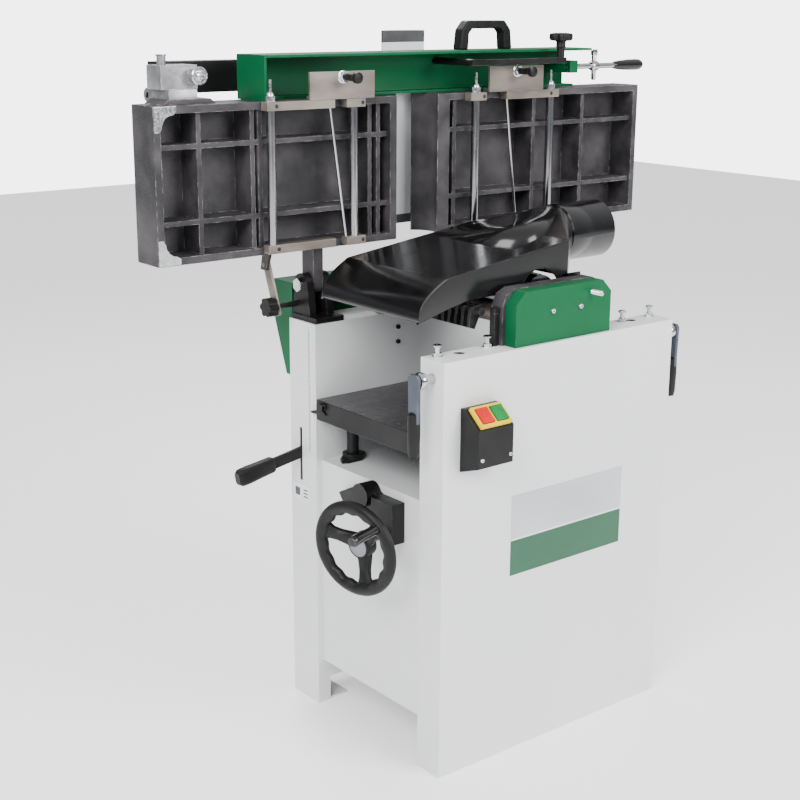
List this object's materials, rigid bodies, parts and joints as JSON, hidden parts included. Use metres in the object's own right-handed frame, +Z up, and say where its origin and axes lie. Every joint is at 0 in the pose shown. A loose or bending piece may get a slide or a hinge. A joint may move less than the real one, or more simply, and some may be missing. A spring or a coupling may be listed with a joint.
{
  "type": "combined planer and thicknesser",
  "caption": "Woodworking planer-thicknesser with swung-up surfacing tables, lifting thicknessing bed, handwheel, dust hood, bridge guard and fence on a sheet-steel stand.",
  "frame": {"origin": "centre of the four floor bolt holes, at floor level", "axes": "+X towards the outfeed end, +Y towards the hinge side of the tables, +Z up"},
  "size_m": [1.072, 0.5516, 1.179],
  "materials": {
    "white_paint": "satin",
    "green_paint": "satin",
    "cast_iron": "rough",
    "ground_iron": "ground",
    "black_paint": "satin",
    "black_gloss": "gloss",
    "black_plastic": "matte",
    "bright_steel": "brushed",
    "bare_steel": "bare",
    "zinc": "bright",
    "yellow": "gloss",
    "red": "gloss",
    "green_button": "gloss",
    "label": "matte",
    "belt_rubber": "matte",
    "bronze": "satin",
    "alloy": "anodised",
    "motor_paint": "satin"
  },
  "bodies": {
    "stand": {"near_wall": "white_paint", "far_column": "white_paint", "cabinet_panels": "white_paint", "deck": "white_paint", "feet": "white_paint", "labels": "label", "bearing_housings": "cast_iron", "pulley_cover": "green_paint", "rear_cover": "green_paint", "fittings": "zinc", "hinge_brackets": "black_paint", "hinge_pins": "zinc", "switch_box": "black_plastic", "switch_frame": "yellow", "shaft_bracket": "black_paint", "deck_bearings": "black_paint", "motor": "motor_paint", "drive_belt": "belt_rubber", "roller_blocks": "cast_iron", "feed_gearbox": "cast_iron", "feed_chain": "bare_steel"},
    "start": {"start_button": "green_button"},
    "stop": {"stop_button": "red"},
    "wheel": {"wheel_shaft": "bright_steel", "handwheel": "black_plastic"},
    "crank": {"crank_handle": "black_gloss"},
    "lift_nut": {"lift_gear": "bronze"},
    "bed": {"bed_table": "ground_iron", "bed_posts": "black_paint", "lift_screw": "bright_steel", "bed_pointer": "zinc"},
    "rotor": {"motor_pulley": "bright_steel"},
    "cutter": {"cutter_block": "bright_steel", "cutter_knives": "bright_steel", "cutter_pulley": "bright_steel"},
    "infeed": {"infeed_roller": "bare_steel"},
    "outfeed": {"outfeed_roller": "bright_steel"},
    "fingers": {"kickback_fingers": "bare_steel"},
    "hood": {"dust_hood": "black_gloss"},
    "clutch": {"clutch_lever": "black_paint", "clutch_grip": "black_plastic"},
    "front_lock": {"front_lock_lever": "bright_steel"},
    "rear_lock": {"rear_lock_lever": "bright_steel"},
    "tables": {"infeed_table": "cast_iron", "outfeed_table": "cast_iron", "guide_bars": "bright_steel", "bar_brackets": "bare_steel", "clamp_plates": "bare_steel", "clamp_bolts": "black_paint", "cross_beam": "green_paint", "lift_handle": "black_plastic", "fence_clamp": "alloy"},
    "stay": {"stay_bar": "bare_steel"},
    "stay_knob": {"star_knob": "black_plastic"},
    "guard_lift": {"guard_arm": "black_paint"},
    "guard": {"bridge_guard": "alloy"},
    "guard_knob": {"guard_knob": "black_plastic"},
    "guard_clamp": {"guard_clamp": "bright_steel"},
    "fence": {"fence": "black_paint"}
  },
  "joints": [
    {"name": "tables_fold", "type": "hinge", "parent": "stand", "child": "tables", "pos_m": [0, 0.178, 0.752], "axis": [1, 0, 0], "range_deg": [0, 12]},
    {"name": "bed_lift", "type": "slide", "parent": "stand", "child": "bed", "axis": [0, 0, 1], "range_m": [-0.05, 0.14]},
    {"name": "lift_gear_turn", "type": "hinge", "parent": "stand", "child": "lift_nut", "pos_m": [0, 0, 0.38], "axis": [0, 0, 1], "continuous": true},
    {"name": "handwheel_turn", "type": "hinge", "parent": "stand", "child": "wheel", "pos_m": [-0.321, -0.078, 0.379], "axis": [-0.969, -0.2354, -0.0755], "continuous": true},
    {"name": "crank_grip_spin", "type": "hinge", "parent": "wheel", "child": "crank", "pos_m": [-0.31268, -0.1278, 0.42749], "axis": [-0.969, -0.2354, -0.0755], "continuous": true},
    {"name": "cutter_spin", "type": "hinge", "parent": "stand", "child": "cutter", "pos_m": [0, 0, 0.753], "axis": [0, 1, 0], "continuous": true},
    {"name": "motor_spin", "type": "hinge", "parent": "stand", "child": "rotor", "pos_m": [0.11, 0, 0.15], "axis": [0, 1, 0], "continuous": true},
    {"name": "infeed_spin", "type": "hinge", "parent": "stand", "child": "infeed", "pos_m": [-0.072, 0, 0.733], "axis": [0, 1, 0], "continuous": true},
    {"name": "outfeed_spin", "type": "hinge", "parent": "stand", "child": "outfeed", "pos_m": [0.072, 0, 0.733], "axis": [0, 1, 0], "continuous": true},
    {"name": "fingers_swing", "type": "hinge", "parent": "stand", "child": "fingers", "pos_m": [-0.132, 0, 0.745], "axis": [0, -1, 0], "range_deg": [0, 35]},
    {"name": "hood_swing", "type": "hinge", "parent": "stand", "child": "hood", "pos_m": [0.08, 0, 0.766], "axis": [0, -1, 0], "range_deg": [-30, 0]},
    {"name": "clutch_swing", "type": "hinge", "parent": "stand", "child": "clutch", "pos_m": [-0.19, 0.173, 0.472], "axis": [0, 1, 0], "range_deg": [-15, 15]},
    {"name": "front_lock_turn", "type": "hinge", "parent": "stand", "child": "front_lock", "pos_m": [-0.256, -0.175, 0.663], "axis": [1, 0, 0], "range_deg": [-60, 60]},
    {"name": "rear_lock_turn", "type": "hinge", "parent": "stand", "child": "rear_lock", "pos_m": [0.256, -0.175, 0.663], "axis": [1, 0, 0], "range_deg": [-60, 60]},
    {"name": "start_press", "type": "slide", "parent": "stand", "child": "start", "axis": [0, 0.6468, -0.7627], "range_m": [0, 0.003]},
    {"name": "stop_press", "type": "slide", "parent": "stand", "child": "stop", "axis": [0, 0.6468, -0.7627], "range_m": [0, 0.003]},
    {"name": "stay_swing", "type": "hinge", "parent": "tables", "child": "stay", "pos_m": [-0.289, 0.215, 0.785], "axis": [1, 0, 0], "range_deg": [-4.75, 0]},
    {"name": "star_knob_turn", "type": "hinge", "parent": "stand", "child": "stay_knob", "pos_m": [-0.289, 0.19, 0.718], "axis": [1, 0, 0], "range_deg": [-90, 90]},
    {"name": "guard_height", "type": "slide", "parent": "tables", "child": "guard_lift", "axis": [0, 1, 0], "range_m": [0, 0.013]},
    {"name": "guard_slide", "type": "slide", "parent": "guard_lift", "child": "guard", "axis": [0, 0, 1], "range_m": [-0.06, 0.04]},
    {"name": "guard_knob_turn", "type": "hinge", "parent": "guard_lift", "child": "guard_knob", "pos_m": [0.28, 0.112, 1.132], "axis": [0, 0, 1], "range_deg": [-90, 90]},
    {"name": "guard_clamp_turn", "type": "hinge", "parent": "tables", "child": "guard_clamp", "pos_m": [0.395, 0.153, 1.096], "axis": [1, 0, 0], "range_deg": [-90, 90]},
    {"name": "fence_tilt", "type": "hinge", "parent": "tables", "child": "fence", "pos_m": [-0.462, 0.27, 1.067], "axis": [1, 0, 0], "range_deg": [-45, 0]}
  ],
  "couplings": [
    {"joint": "lift_gear_turn", "follows": "bed_lift", "rad_per_m": 1256.6},
    {"joint": "handwheel_turn", "follows": "bed_lift", "rad_per_m": 3410.9},
    {"joint": "motor_spin", "follows": "cutter_spin", "ratio": 0.5},
    {"joint": "outfeed_spin", "follows": "infeed_spin", "ratio": 1},
    {"joint": "stay_swing", "follows": "tables_fold", "ratio": -0.393}
  ]
}
